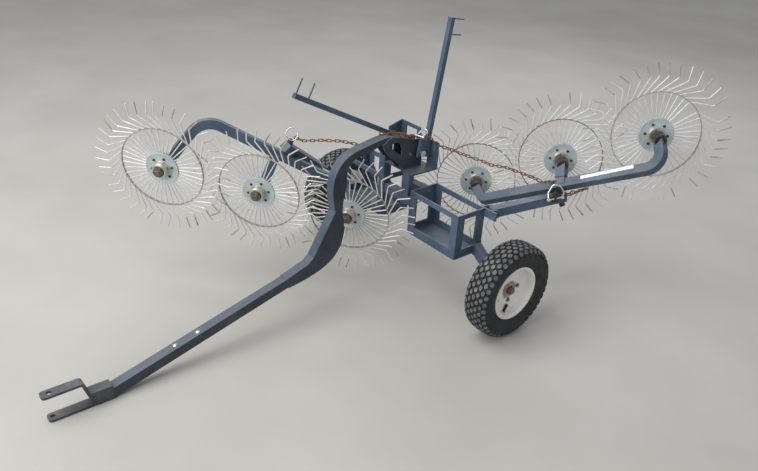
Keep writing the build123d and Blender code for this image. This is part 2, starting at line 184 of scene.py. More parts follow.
def bump(tree, shader, height, strength, distance):
    node = tree.nodes.new("ShaderNodeBump")
    node.inputs["Strength"].default_value = strength
    node.inputs["Distance"].default_value = distance
    tree.links.new(height, node.inputs["Height"])
    tree.links.new(node.outputs["Normal"], shader.inputs["Normal"])


# Paint
SCRATCH_COLOR = (0.20, 0.23, 0.26)
# Near-black of the painted shade on the sides that face along X
SIDE_SHADE_COLOR = (0.017, 0.020, 0.025)
DUST_COLOR = (0.24, 0.25, 0.26)


def paint(name, deep, mid, light, rust_amount=0.5, dust=0.35, painted_side_shade=0.0):
    """Worn enamel: mottled and scratched, with rust spots, dust on top and, when asked for, painted shade on
    the sides that face along X.
    """
    mat, tree, shader = new_material(name)
    plain = coords(tree)
    body = mottle(tree, plain, (9, 6, 0.6), (0.30, deep), (0.52, mid), (0.75, light))
    streaks = coords(tree, (14, 14, 1.6), (0.5, 0.3, 0.2))
    scuff_map = mottle(tree, streaks, (9, 8, 0.7), (0.60, grey(0)), (0.70, grey(0.75)))
    body = mix(tree, scuff_map, body, (light[0] * 1.7, light[1] * 1.55, light[2] * 1.45))
    lines = coords(tree, (1.5, 60, 12), (0.2, 0.5, 0.9))
    scratch_map = mottle(tree, lines, (6, 3, 0.5), (0.71, grey(0)), (0.75, grey(0.5)))
    body = mix(tree, scratch_map, body, SCRATCH_COLOR)
    # Painted shade: sides that face along X turn near-black in uneven patches, by the given amount
    if painted_side_shade:
        sideways = combine(tree, "ABSOLUTE", facing(tree, "X"))
        side_shade_mask = ramp(tree, sideways, (0.55, grey(0)), (0.85, grey(painted_side_shade)))
        side_shade_patches = mottle(tree, plain, (11, 6, 0.65), (0.30, grey(0.55)), (0.62, grey(1)))
        body = mix(tree, combine(tree, "MULTIPLY", side_shade_mask, side_shade_patches), body, SIDE_SHADE_COLOR)
    rust_map = mottle(tree, plain, (24, 9, 0.72),
                      (0.70 - 0.10 * rust_amount, grey(0)), (0.76 - 0.08 * rust_amount, grey(0.9)))
    rust_color = mottle(tree, plain, (90, 5), (0.35, (0.10, 0.045, 0.022)), (0.65, (0.24, 0.105, 0.045)))
    body = mix(tree, rust_map, body, rust_color)
    upward = ramp(tree, facing(tree, "Z"), (0.45, grey(0)), (0.95, grey(1)))
    settled = mottle(tree, plain, (13, 6, 0.7), (0.30, grey(0.15)), (0.70, grey(dust * 2)))
    body = mix(tree, combine(tree, "MULTIPLY", upward, settled), body, DUST_COLOR)
    tree.links.new(body, shader.inputs["Base Color"])
    rough = mottle(tree, plain, (30, 5), (0.3, grey(0.42)), (0.7, grey(0.66)))
    tree.links.new(rough, shader.inputs["Roughness"])
    shader.inputs["Coat Weight"].default_value = 0.08
    blisters = combine(tree, "MULTIPLY", rust_map, 0.8)
    bump(tree, shader, combine(tree, "ADD", noise(tree, plain, 160, 4), blisters), 0.35, 0.0006)
    return mat


BLUE = paint("slate_paint", (0.036, 0.060, 0.096), (0.054, 0.090, 0.142), (0.088, 0.135, 0.195))
# This paint also gets painted shade on its sides that face along X
BLUE_DARK = paint("slate_paint_dark", (0.036, 0.054, 0.082), (0.054, 0.080, 0.118), (0.085, 0.118, 0.162),
                  rust_amount=0.5, dust=0.16, painted_side_shade=0.85)
HITCH_PAINT = paint("worn_hitch_paint", (0.024, 0.028, 0.033), (0.046, 0.056, 0.066), (0.085, 0.100, 0.112),
                    rust_amount=1.35, dust=0.12)


# Metals
def metal(name, dark, light, rust_amount, metallic, rough, scale):
    """Mottled metal that turns dull and brown where its rust spots are."""
    mat, tree, shader = new_material(name)
    plain = coords(tree)
    body = mottle(tree, plain, (scale, 7, 0.65), (0.32, dark), (0.68, light))
    rust_map = mottle(tree, plain, (scale * 1.3, 8, 0.75),
                      (0.72 - 0.22 * rust_amount, grey(0)), (0.80 - 0.22 * rust_amount, grey(1)))
    rust_color = mottle(tree, plain, (140, 5), (0.35, (0.12, 0.05, 0.025)), (0.65, (0.30, 0.13, 0.055)))
    body = mix(tree, rust_map, body, rust_color)
    tree.links.new(body, shader.inputs["Base Color"])
    shine = combine(tree, "MULTIPLY", combine(tree, "SUBTRACT", 1.0, rust_map), metallic)
    tree.links.new(shine, shader.inputs["Metallic"])
    roughness = mottle(tree, plain, (scale * 2, 5), (0.3, grey(rough[0])), (0.7, grey(rough[1])))
    roughness = mix(tree, rust_map, roughness, grey(0.85))
    tree.links.new(roughness, shader.inputs["Roughness"])
    bump(tree, shader, noise(tree, plain, 260, 4), 0.25, 0.0004)
    return mat


# Each has its dark and light tone, amount of rust, metallic share, range of roughness and grain
ZINC = metal("zinc_wire", (0.60, 0.61, 0.60), (0.84, 0.85, 0.84), 0.10, 0.35, (0.28, 0.5), 22)
ZINC_DULL = metal("zinc_wire_dull", (0.34, 0.27, 0.20), (0.58, 0.54, 0.48), 0.75, 0.2, (0.4, 0.7), 16)
ZINC_PALE = metal("zinc_disc", (0.40, 0.48, 0.50), (0.56, 0.64, 0.66), 0.0, 0.25, (0.34, 0.5), 18)
RING = metal("rusty_ring", (0.26, 0.24, 0.21), (0.42, 0.40, 0.36), 0.55, 0.35, (0.4, 0.7), 9)
RING_GREY = metal("grey_ring", (0.22, 0.23, 0.23), (0.42, 0.43, 0.42), 0.25, 0.4, (0.35, 0.6), 9)
RING_RUST = metal("orange_rust_ring", (0.20, 0.085, 0.040), (0.40, 0.17, 0.075), 0.45, 0.1, (0.6, 0.9), 12)
RUST = metal("rusty_chain", (0.10, 0.045, 0.025), (0.27, 0.12, 0.06), 0.8, 0.3, (0.6, 0.9), 40)
DARK = metal("dark_steel", (0.035, 0.028, 0.024), (0.10, 0.08, 0.065), 0.35, 0.5, (0.35, 0.7), 45)
STEEL = metal("machined_steel", (0.42, 0.38, 0.32), (0.62, 0.58, 0.50), 0.06, 0.55, (0.22, 0.42), 40)
NUT = metal("oiled_nut", (0.10, 0.09, 0.08), (0.22, 0.20, 0.17), 0.25, 0.6, (0.3, 0.6), 50)
BRIGHT = metal("bright_zinc", (0.60, 0.61, 0.62), (0.82, 0.83, 0.84), 0.05, 0.95, (0.15, 0.3), 60)
RUSTY_CREAM = metal("rusty_hub", (0.20, 0.13, 0.08), (0.46, 0.40, 0.32), 0.7, 0.2, (0.5, 0.85), 30)


# Rim enamel, rubber and white film
def axle_distance(tree, where):
    """How far a place is from the line of the road wheels' axle."""
    split = tree.nodes.new("ShaderNodeSeparateXYZ")
    tree.links.new(where, split.inputs[0])
    dy = combine(tree, "SUBTRACT", split.outputs["Y"], AXLE_Y)
    dz = combine(tree, "SUBTRACT", split.outputs["Z"], TYRE_R - PIN_HEIGHT)
    squares = combine(tree, "ADD", combine(tree, "MULTIPLY", dy, dy), combine(tree, "MULTIPLY", dz, dz))
    return combine(tree, "SQRT", squares)


def rim_paint():
    """Off-white enamel, brown and rusty where the hub comes through."""
    mat, tree, shader = new_material("cream_enamel")
    plain = coords(tree)
    body = mottle(tree, plain, (14, 6, 0.6), (0.30, (0.66, 0.64, 0.60)), (0.62, (0.80, 0.785, 0.75)))
    ragged = combine(tree, "MULTIPLY", noise(tree, plain, 60, 6, 0.7), 0.03)
    uneven = combine(tree, "ADD", axle_distance(tree, plain), ragged)
    near = ramp(tree, uneven, (0.046, grey(1)), (0.058, grey(0)))
    rust_color = mottle(tree, plain, (120, 5), (0.35, (0.10, 0.05, 0.03)), (0.65, (0.30, 0.16, 0.08)))
    body = mix(tree, near, body, rust_color)
    spots = mottle(tree, plain, (48, 9, 0.7), (0.66, grey(0)), (0.72, grey(0.8)))
    body = mix(tree, spots, body, (0.30, 0.21, 0.13))
    tree.links.new(body, shader.inputs["Base Color"])
    rough = mottle(tree, plain, (30, 4), (0.3, grey(0.35)), (0.7, grey(0.6)))
    tree.links.new(rough, shader.inputs["Roughness"])
    bump(tree, shader, noise(tree, plain, 180, 4), 0.2, 0.0005)
    return mat


def rubber(name, dark, light):
    mat, tree, shader = new_material(name)
    plain = coords(tree)
    body = mottle(tree, plain, (22, 7, 0.65), (0.32, dark), (0.70, light))
    tree.links.new(body, shader.inputs["Base Color"])
    rough = mottle(tree, plain, (60, 4), (0.3, grey(0.62)), (0.7, grey(0.85)))
    tree.links.new(rough, shader.inputs["Roughness"])
    shader.inputs["Specular IOR Level"].default_value = 0.35
    bump(tree, shader, noise(tree, plain, 300, 4), 0.3, 0.0006)
    return mat


def white_film():
    mat, tree, shader = new_material("white_film")
    plain = coords(tree)
    body = mottle(tree, plain, (30, 6), (0.35, (0.72, 0.74, 0.77)), (0.65, (0.82, 0.84, 0.86)))
    tree.links.new(body, shader.inputs["Base Color"])
    shader.inputs["Roughness"].default_value = 0.4
    bump(tree, shader, noise(tree, plain, 200, 3), 0.15, 0.0004)
    return mat


CREAM = rim_paint()
RUBBER = rubber("tyre_rubber", (0.014, 0.015, 0.017), (0.040, 0.042, 0.045))
LUG_TOP = rubber("tyre_lugs", (0.060, 0.064, 0.068), (0.190, 0.200, 0.208))
WHITE = white_film()

# Finish of each CAD node; the rest are blue
NODE_FINISHES = (
    (HITCH_PAINT, ("hitch_clevis", "drawbar_socket")),
    (BLUE_DARK, ("drawbar_tube", "drawbar_arch", "left_tower_web", "right_tower_web", "tower_floor",
                 "cross_members")),
    (DARK, ("left_gang_pin", "right_gang_pin", "axle_nuts", "left_spindles", "right_spindles")),
    (BRIGHT, ("lever_pins",)),
    (CREAM, ("left_rim", "right_rim")),
    (RUBBER, ("left_tyre", "right_tyre")),
)


def finish_nodes():
    finish_of = {name: mat for mat, names in NODE_FINISHES for name in names}
    for name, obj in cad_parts.items():
        if name.endswith("_tines"):
            mat = ZINC
        elif name.endswith("_hub"):
            mat = ZINC_PALE
        else:
            mat = finish_of.get(name, BLUE)
        obj.data.materials.clear()
        obj.data.materials.append(mat)


finish_nodes()


# Mesh helpers
BEAD_STEP = 0.0045
BEAD_ROUGHNESS = 0.25
LINK_POINTS = 12
LINK_SWING = 0.35


def square_to(axis):
    """The axis at length 1, and two directions square to it."""
    axis = axis.normalized()
    seed = Z if abs(axis.z) < 0.9 else X
    side = axis.cross(seed).normalized()
    return axis, side, axis.cross(side)


class Shape:
    """Gathers vertices and faces of many small forms into one mesh."""

    def __init__(self):
        self.verts = []
        self.faces = []
        self.tops = []

    def add(self, verts, faces, tops=()):
        """tops are the faces that get the second material."""
        base = len(self.verts)
        first = len(self.faces)
        self.verts += [Vector(v) for v in verts]
        self.faces += [tuple(base + i for i in f) for f in faces]
        self.tops += [first + i for i in tops]

    def tube(self, path, radius, sides, closed=False):
        """A round wire along a path."""
        count = len(path)
        tangents = []
        for i in range(count):
            a = path[i - 1] if (i or closed) else path[0]
            b = path[(i + 1) % count] if (i < count - 1 or closed) else path[-1]
            tangents.append((b - a).normalized())
        normal = square_to(tangents[0])[1]
        verts = []
        for point, tangent in zip(path, tangents):
            normal = (normal - tangent * normal.dot(tangent)).normalized()
            across = tangent.cross(normal)
            for k in range(sides):
                a = 2 * pi * k / sides
                verts.append(point + (normal * cos(a) + across * sin(a)) * radius)
        faces = []
        for i in range(count if closed else count - 1):
            j = (i + 1) % count
            for k in range(sides):
                m = (k + 1) % sides
                faces.append((i * sides + k, i * sides + m, j * sides + m, j * sides + k))
        if not closed:
            faces.append(tuple(reversed(range(sides))))
            faces.append(tuple((count - 1) * sides + k for k in range(sides)))
        self.add(verts, faces)

    def lathe(self, profile, place, axis, segments):
        """A solid turned about an axis; profile holds (height along it, radius) from end to end."""
        axis, side, other = square_to(axis)
        verts = []
        for height, radius in profile:
            for k in range(segments):
                a = 2 * pi * k / segments
                verts.append(place + axis * height + (side * cos(a) + other * sin(a)) * radius)
        faces = []
        for low in range(0, (len(profile) - 1) * segments, segments):
            high = low + segments
            for k in range(segments):
                m = (k + 1) % segments
                faces.append((low + k, low + m, high + m, high + k))
        faces.append(tuple(reversed(range(segments))))
        faces.append(tuple((len(profile) - 1) * segments + k for k in range(segments)))
        self.add(verts, faces)

    def turned(self, loop, place, axis, segments):
        """A ring turned about an axis; loop is its closed outline of (height along the axis, radius)."""
        axis, side, other = square_to(axis)
        count = len(loop)
        verts = []
        for k in range(segments):
            a = 2 * pi * k / segments
            out = side * cos(a) + other * sin(a)
            verts += [place + axis * h + out * r for h, r in loop]
        faces = []
        for k in range(segments):
            m = (k + 1) % segments
            for e in range(count):
                f = (e + 1) % count
                faces.append((k * count + e, m * count + e, m * count + f, k * count + f))
        self.add(verts, faces)

    def washer(self, place, axis, heights, radii, segments):
        """A flat ring between two heights along the axis and two radii."""
        (low, high), (inner, outer) = heights, radii
        self.turned(((low, inner), (low, outer), (high, outer), (high, inner)), place, axis, segments)

    def hexagon(self, place, axis, radius, height):
        """A bolt head or nut with a chamfered crown."""
        self.lathe(((0, radius), (height * 0.88, radius), (height, radius * 0.86)), place, axis, 6)

    def bolt(self, place, axis, radius, height):
        """A hexagon head on its washer."""
        axis = axis.normalized()
        self.washer(place, axis, (0, 0.0014), (radius * 0.4, radius * 1.35), 20)
        self.hexagon(place + axis * 0.0012, axis, radius, height)

    def bead(self, corners, radius, closed=False):
        """A weld: a thin uneven ridge along a line."""
        path = []
        count = len(corners)
        for i in range(count if closed else count - 1):
            a, b = corners[i], corners[(i + 1) % count]
            steps = max(2, int((b - a).length / BEAD_STEP))
            path += [a.lerp(b, k / steps) for k in range(steps)]
        if not closed:
            path.append(corners[-1])
        uneven = []
        for spot in path:
            shift = [random.uniform(-1, 1) * radius * BEAD_ROUGHNESS for _ in range(3)]
            uneven.append(spot + Vector(shift))
        self.tube(uneven, radius, 6, closed)

    def chain(self, points, pitch=0.0175, wire=0.0021, half=0.0052):
        """Oval links along a line, by turns flat and on edge; half is half a link's width."""
        spots = []
        left = 0.0
        for a, b in zip(points, points[1:]):
            length = (b - a).length
            while left < length:
                spots.append((a.lerp(b, left / length), (b - a).normalized()))
                left += pitch
            left -= length
        reach = pitch / 2 + wire * 0.9 - half
        for index, (spot, along) in enumerate(spots):
            flat = along.cross(Z).normalized()
            side = flat if index % 2 else along.cross(flat).normalized()
            side = (side + along.cross(side) * random.uniform(-LINK_SWING, LINK_SWING)).normalized()
            link = []
            for k in range(LINK_POINTS):
                a = 2 * pi * (k + 0.5) / LINK_POINTS
                end = reach if cos(a) > 0 else -reach
                link.append(spot + along * (end + half * cos(a)) + side * (half * sin(a)))
            self.tube(link, wire, 6, closed=True)


def build(name, shape, mat, body, smooth=40, top_mat=None):
    """Makes a Shape into a piece, with sharp edges where faces meet at more than smooth degrees."""
    mesh = bpy.data.meshes.new(name)
    mesh.from_pydata([tuple(v) for v in shape.verts], [], shape.faces)
    mesh.validate()
    mesh.update()
    obj = bpy.data.objects.new(name, mesh)
    bpy.context.collection.objects.link(obj)
    mesh.materials.append(mat)
    if top_mat:
        mesh.materials.append(top_mat)
        for index in shape.tops:
            mesh.polygons[index].material_index = 1
    if smooth:
        mesh.shade_smooth()
        work = bmesh.new()
        work.from_mesh(mesh)
        bmesh.ops.recalc_face_normals(work, faces=work.faces)
        limit = radians(smooth)
        for edge in work.edges:
            if len(edge.link_faces) == 2 and edge.calc_face_angle(0) > limit:
                edge.smooth = False
        work.to_mesh(mesh)
        work.free()
    if body:
        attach(obj, body)
    return obj


def rounded(points, radius, steps):
    """The same path with its corners rounded by short arcs."""
    path = [points[0]]
    for before, corner, after in zip(points, points[1:], points[2:]):
        a = (before - corner).normalized()
        b = (after - corner).normalized()
        room = min((before - corner).length, (after - corner).length) * 0.45
        reach = min(radius / tan(a.angle(b) / 2), room)
        start = corner + a * reach
        end = corner + b * reach
        for k in range(steps + 1):
            t = k / steps
            path.append(start * (1 - t) ** 2 + corner * 2 * t * (1 - t) + end * t ** 2)
    path.append(points[-1])
    return path


def square(middle, run, half_u, half_v, hint=Z):
    """The corners of a rectangle across a direction."""
    run = run.normalized()
    u = run.cross(hint).normalized()
    v = run.cross(u)
    return [middle + u * half_u * a + v * half_v * b for a, b in ((1, 1), (1, -1), (-1, -1), (-1, 1))]


# Gangs: each is a row of three finger wheels, which stand askew to it
STEP = 0.392
WHEEL_TURN = radians(16.9)


class Gang:
    """One gang's directions: along its row, from the wheels towards the bar, and a wheel's own."""

    def __init__(self, side, middle, row, barward, wheels):
        self.side = side
        self.middle = site(*middle)
        self.row = Vector(row).normalized()
        toward = Vector(barward)
        self.barward = (toward - self.row * toward.dot(self.row)).normalized()
        self.across = self.barward.cross(self.row)
        self.axle = self.row * sin(WHEEL_TURN) + self.barward * cos(WHEEL_TURN)
        self.along = self.row * cos(WHEEL_TURN) - self.barward * sin(WHEEL_TURN)
        self.over = self.axle.cross(self.along)
        self.hubs = {name: self.middle + self.row * (step * STEP) for step, name in zip((-1, 0, 1), wheels)}

    def off(self, row, across, barward):
        """A step in the gang's own directions."""
        return self.row * row + self.across * across + self.barward * barward

    def at(self, hub, radius, angle, height=0.0):
        """A place round a wheel's hub."""
        return hub + (self.along * cos(angle) + self.over * sin(angle)) * radius + self.axle * height


GANGS = (
    Gang("right", (-0.2713, -0.6511, 0.4642), row=(0.5006, 0.8213, -0.2735),
         barward=(-0.7976, 0.5604, 0.2230), wheels=("outer", "middle", "inner")),
    Gang("left", (0.4151, 0.4032, 0.6284), row=(0.7857, 0.4156, 0.4583),
         barward=(0.5093, -0.8551, -0.0976), wheels=("inner", "middle", "outer")),
)
GANG_OF = {gang.side: gang for gang in GANGS}

# Finger wheels: wires bent at an elbow outside their ring
TINES = 40
WIRE_R = 0.00265
WIRE_SIDES = 7
WIRE_BEND = 0.012
ROOT_R = 0.060
RING_R = 0.171
RING_RADII = (RING_R + 0.0005, RING_R + 0.0030)
RING_HALF = 0.0045
ELBOW_R = 0.2325
ELBOW_LAG = radians(-19.5)
TIP_R = 0.287
TIP_LAG = radians(-17.0)
DULL_SHARE = 0.4
MISSING = {("left", "outer"): (2,)}
RINGS = {
    ("right", "outer"): RING_GREY, ("right", "middle"): RING, ("right", "inner"): RING,
    ("left", "inner"): RING_RUST, ("left", "middle"): RING_RUST, ("left", "outer"): RING,
}
# Outlines of what turns about the axle, as (height along it, radius)
DISC = ((0.0024, 0.0320), (0.0024, 0.0680), (0.0030, 0.0694), (0.0046, 0.0694), (0.0055, 0.0680),
        (0.0055, 0.0630), (0.0048, 0.0605), (0.0048, 0.0375), (0.0055, 0.0355), (0.0055, 0.0320))
HOUSING = ((-0.0305, 0.0131), (-0.0305, 0.0225), (-0.0340, 0.0225), (-0.0340, 0.0288),
           (-0.0325, 0.0308), (-0.0300, 0.0312), (-0.0288, 0.0300), (-0.0272, 0.0300),
           (-0.0260, 0.0318), (-0.0100, 0.0318), (-0.0085, 0.0330), (0.0085, 0.0330),
           (0.0100, 0.0318), (0.0145, 0.0318), (0.0160, 0.0300), (0.0160, 0.0131))
SPACER_HALF = 0.0024
SPACER_RADII = (0.050, 0.0563)
SEAL_HEIGHTS = (-0.0318, -0.0305)
SEAL_RADII = (0.0135, 0.0222)
DISC_BOLTS = 6
DISC_BOLT_CIRCLE = 0.0445
DISC_FACE = 0.0052
DISC_BOLT_R = 0.0056
DISC_HEAD_HIGH = 0.0036
DISC_NUT_HIGH = 0.0040


def wheel_wires(gang, name, hub, body):
    """Forty wires, each a little out of line; some are dull past the elbow."""
    shape = Shape()
    for k in range(TINES):
        if k in MISSING.get((gang.side, name), ()):
            continue
        base = 2 * pi * k / TINES
        slip = radians(random.uniform(-0.8, 0.8))
        lean = random.uniform(-0.003, 0.003)
        spread = radians(random.uniform(-1.6, 1.6))
        points = [gang.at(hub, ROOT_R, base), gang.at(hub, RING_R, base + slip * 0.3),
                  gang.at(hub, ELBOW_R, base + ELBOW_LAG + slip, lean * 0.5),
                  gang.at(hub, TIP_R, base + TIP_LAG + slip + spread, lean)]
        shape.tube(rounded(points, WIRE_BEND, 3), WIRE_R, WIRE_SIDES)
        if random.random() < DULL_SHARE:
            last_run_and_caps = WIRE_SIDES + 2
            shape.tops += range(len(shape.faces) - last_run_and_caps, len(shape.faces))
    wires = build(f"{gang.side}_{name}_wires", shape, ZINC, body, 60, ZINC_DULL)
    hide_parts(f"{gang.side}_{name}_tines")


def wheel_ring(gang, name, hub, body):
    shape = Shape()
    shape.washer(hub, gang.axle, (-RING_HALF, RING_HALF), RING_RADII, 96)
    ring = build(f"{gang.side}_{name}_ring", shape, RINGS[gang.side, name], body, 40)


def wheel_discs(gang, name, hub, body):
    """Two pressed discs and the spacer between them."""
    shape = Shape()
    for face in (1, -1):
        shape.turned([(face * h, r) for h, r in DISC], hub, gang.axle, 56)
    shape.washer(hub, gang.axle, (-SPACER_HALF, SPACER_HALF), SPACER_RADII, 40)
    discs = build(f"{gang.side}_{name}_discs", shape, ZINC_PALE, body, 30)
    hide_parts(f"{gang.side}_{name}_hub")


def wheel_housing(gang, name, hub, body):
    shape = Shape()
    shape.turned(HOUSING, hub, gang.axle, 48)
    housing = build(f"{gang.side}_{name}_housing", shape, STEEL, body, 30)


def wheel_bolts(gang, name, hub, body):
    """The housing's seal, and a head and a nut at each bolt of the discs."""
    shape = Shape()
    shape.washer(hub, gang.axle, SEAL_HEIGHTS, SEAL_RADII, 32)
    for k in range(DISC_BOLTS):
        a = 2 * pi * (k + 0.5) / DISC_BOLTS
        shape.hexagon(gang.at(hub, DISC_BOLT_CIRCLE, a, -DISC_FACE), -gang.axle, DISC_BOLT_R, DISC_HEAD_HIGH)
        shape.hexagon(gang.at(hub, DISC_BOLT_CIRCLE, a, DISC_FACE), gang.axle, DISC_BOLT_R, DISC_NUT_HIGH)
    bolts = build(f"{gang.side}_{name}_disc_bolts", shape, DARK, body, 30)


for gang in GANGS:
    for name, hub in gang.hubs.items():
        body = f"{gang.side}_{name}_finger_wheel"
        wheel_wires(gang, name, hub, body)
        wheel_ring(gang, name, hub, body)
        wheel_discs(gang, name, hub, body)
        wheel_housing(gang, name, hub, body)
        wheel_bolts(gang, name, hub, body)

# Spindles: a threaded end with its washer and nut, and the boss on the gang bar
THREAD_TURNS = 10
THREAD_START = -0.0512
THREAD_PITCH = 0.0016
THREAD_R = 0.0122
THREAD_ROOT = 0.0113
SPINDLE_WASHER_HEIGHTS = (-0.0370, -0.0350)
SPINDLE_WASHER_RADII = (0.0120, 0.0212)
SPINDLE_NUT_SEAT = 0.0372
SPINDLE_NUT_R = 0.0208
SPINDLE_NUT_HIGH = 0.0095
BOSS = ((0.0240, 0.0001), (0.0240, 0.0225), (0.0255, 0.0240), (0.0805, 0.0240), (0.0820, 0.0225),
        (0.0820, 0.0175), (0.0765, 0.0165), (0.0765, 0.0080), (0.0785, 0.0065), (0.0785, 0.0001))


def spindle_profile():
    profile = [(-0.0520, 0.0001), (-0.0520, 0.0105)]
    for k in range(2 * THREAD_TURNS):
        profile.append((THREAD_START + THREAD_PITCH / 2 * k, THREAD_R if k % 2 else THREAD_ROOT))
    return profile + [(-0.0345, THREAD_R), (0.0250, THREAD_R), (0.0250, 0.0001)]


for gang in GANGS:
    ends = Shape()
    bosses = Shape()
    for hub in gang.hubs.values():
        ends.lathe(spindle_profile(), hub, gang.axle, 24)
        ends.washer(hub, gang.axle, SPINDLE_WASHER_HEIGHTS, SPINDLE_WASHER_RADII, 32)
        seat = hub - gang.axle * SPINDLE_NUT_SEAT
        ends.hexagon(seat, -gang.axle, SPINDLE_NUT_R, SPINDLE_NUT_HIGH)
        bosses.lathe(BOSS, hub, gang.axle, 36)
    nuts = build(f"{gang.side}_spindle_nuts", ends, NUT, f"{gang.side}_gang", 30)
    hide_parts(f"{gang.side}_spindles")
    build(f"{gang.side}_spindle_bosses", bosses, DARK, f"{gang.side}_gang", 30)

# Tyres: a carcass, five rows of studs on it and one more on each shoulder
CARCASS = ((-0.036, 0.103), (-0.040, 0.112), (-0.050, 0.128), (-0.0565, 0.150), (-0.0560, 0.172),
           (-0.051, 0.186), (-0.042, 0.193), (-0.022, 0.1965), (0.0, 0.1975), (0.022, 0.1965),
           (0.042, 0.193), (0.051, 0.186), (0.0560, 0.172), (0.0565, 0.150), (0.050, 0.128),
           (0.040, 0.112), (0.036, 0.103))
LUGS = 40
LUG_SINK = 0.002
LUG_JITTER = 0.0008
LUG_WEAR = (0.86, 1.10)
EDGE_ROW = 0.0345
EDGE_TILT = -0.225
LUG_ROWS = (
    # offset across, radius of the carcass there, half width, half length, height, stagger
    (0.0, 0.1972, 0.0085, 0.0120, 0.0058, 0.0),
    (0.0175, 0.1964, 0.0080, 0.0115, 0.0062, 0.5),
    (-0.0175, 0.1964, 0.0080, 0.0115, 0.0062, 0.5),
    (EDGE_ROW, 0.1938, 0.0085, 0.0110, 0.0066, 0.0),
    (-EDGE_ROW, 0.1938, 0.0085, 0.0110, 0.0066, 0.0),
)
TREAD_OUTLINE = ((-1, -0.42), (-0.5, -1), (0.5, -1), (1, -0.42), (1, 0.42), (0.5, 1), (-0.5, 1), (-1, 0.42))
SHOULDER_OUTLINE = ((-1, -0.5), (-0.6, -1), (0.6, -1), (1, -0.5), (1, 0.5), (0.6, 1), (-0.6, 1), (-1, 0.5))
SHOULDER_X = 0.0475
SHOULDER_R = 0.1865
SHOULDER_LEAN_OUT = 0.62
SHOULDER_LEAN_SIDE = 0.78
SHOULDER_HALF_WIDE = 0.0095
SHOULDER_HALF_LONG = 0.0100
SHOULDER_LEVELS = ((-0.002, 1.12), (0.0035, 1.0), (0.0048, 0.86))


def add_lug(tyre, foot, normal, wide, fore, outline, levels):
    """A rubber stud on an eight-sided outline; levels hold (height, size), from foot to crown."""
    verts = []
    for height, grow in levels:
        verts += [foot + normal * height + wide * (x * grow) + fore * (y * grow) for x, y in outline]
    faces = []
    for low in (0, 8):
        high = low + 8
        for e in range(8):
            f = (e + 1) % 8
            faces.append((low + e, low + f, high + f, high + e))
    faces.append(tuple(range(16, 24)))
    tyre.add(verts, faces, (16,))


def round_wheel(turns):
    """The directions out from the axle and round the tyre, at a share of a full turn."""
    a = 2 * pi * turns
    return Vector((0, cos(a), sin(a))), Vector((0, -sin(a), cos(a)))


def add_tread(tyre, centre):
    for offset, radius, half_wide, half_long, height, stagger in LUG_ROWS:
        tilt = EDGE_TILT * offset / EDGE_ROW
        levels = ((0, 1.12), (height * 0.8 + LUG_SINK, 1.0), (height + LUG_SINK, 0.86))
        for k in range(LUGS):
            out, fore = round_wheel((k + stagger) / LUGS)
            normal = (out * cos(tilt) - X * sin(tilt)).normalized()
            wide = (X * cos(tilt) + out * sin(tilt)).normalized()
            shift = random.uniform(-LUG_JITTER, LUG_JITTER)
            foot = centre + X * (offset + shift) + out * (radius - LUG_SINK)
            worn = random.uniform(*LUG_WEAR)
            add_lug(tyre, foot, normal, wide * half_wide, fore * (half_long * worn), TREAD_OUTLINE, levels)


def add_shoulders(tyre, centre):
    for sign in (1, -1):
        for k in range(LUGS):
            out, fore = round_wheel((k + 0.5) / LUGS)
            normal = (out * SHOULDER_LEAN_OUT + X * (sign * SHOULDER_LEAN_SIDE)).normalized()
            slope = (out * -SHOULDER_LEAN_SIDE + X * (sign * SHOULDER_LEAN_OUT)).normalized()
            foot = centre + X * (sign * SHOULDER_X) + out * SHOULDER_R
            wide, long = slope * SHOULDER_HALF_WIDE, fore * SHOULDER_HALF_LONG
            add_lug(tyre, foot, normal, wide, long, SHOULDER_OUTLINE, SHOULDER_LEVELS)


for side, sign in SIDES:
    centre = site(sign * TRACK / 2, 0, TYRE_R)
    shape = Shape()
    shape.turned(CARCASS, centre, X, 96)
    add_tread(shape, centre)
    add_shoulders(shape, centre)
    tyre = build(f"{side}_tread_tyre", shape, RUBBER, f"{side}_road_wheel", 38, LUG_TOP)
    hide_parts(f"{side}_tyre")

# Rims: a dished disc and its hub, dark insets of painted shade for the bolt holes, two wheel bolts and the
# valve
RIM = ((-0.0460, 0.1075), (-0.0460, 0.1150), (-0.0450, 0.1162), (-0.0430, 0.1162), (-0.0416, 0.1150),
       (-0.0400, 0.1110), (-0.0368, 0.1024), (0.0368, 0.1024), (0.0400, 0.1110), (0.0416, 0.1150),
       (0.0430, 0.1162), (0.0450, 0.1162), (0.0460, 0.1150), (0.0460, 0.1075), (0.0440, 0.1035),
       (0.0390, 0.0995), (0.0240, 0.0975), (0.0180, 0.0955), (0.0145, 0.0910), (0.0125, 0.0840),
       (0.0092, 0.0660), (0.0084, 0.0560), (0.0086, 0.0400), (0.0090, 0.0240), (0.0045, 0.0240),
       (0.0045, 0.0400), (0.0038, 0.0560), (0.0050, 0.0660), (0.0085, 0.0850), (0.0090, 0.0930),
       (-0.0380, 0.0985))
HUB_TUBE = ((-0.0420, 0.0129), (-0.0420, 0.0228), (-0.0400, 0.0238), (0.0105, 0.0238), (0.0120, 0.0226),
            (0.0120, 0.0190), (0.0108, 0.0182), (0.0108, 0.0129))
HUB_LIP = ((0.0080, 0.0236), (0.0080, 0.0345), (0.0096, 0.0335), (0.0104, 0.0300), (0.0104, 0.0236))
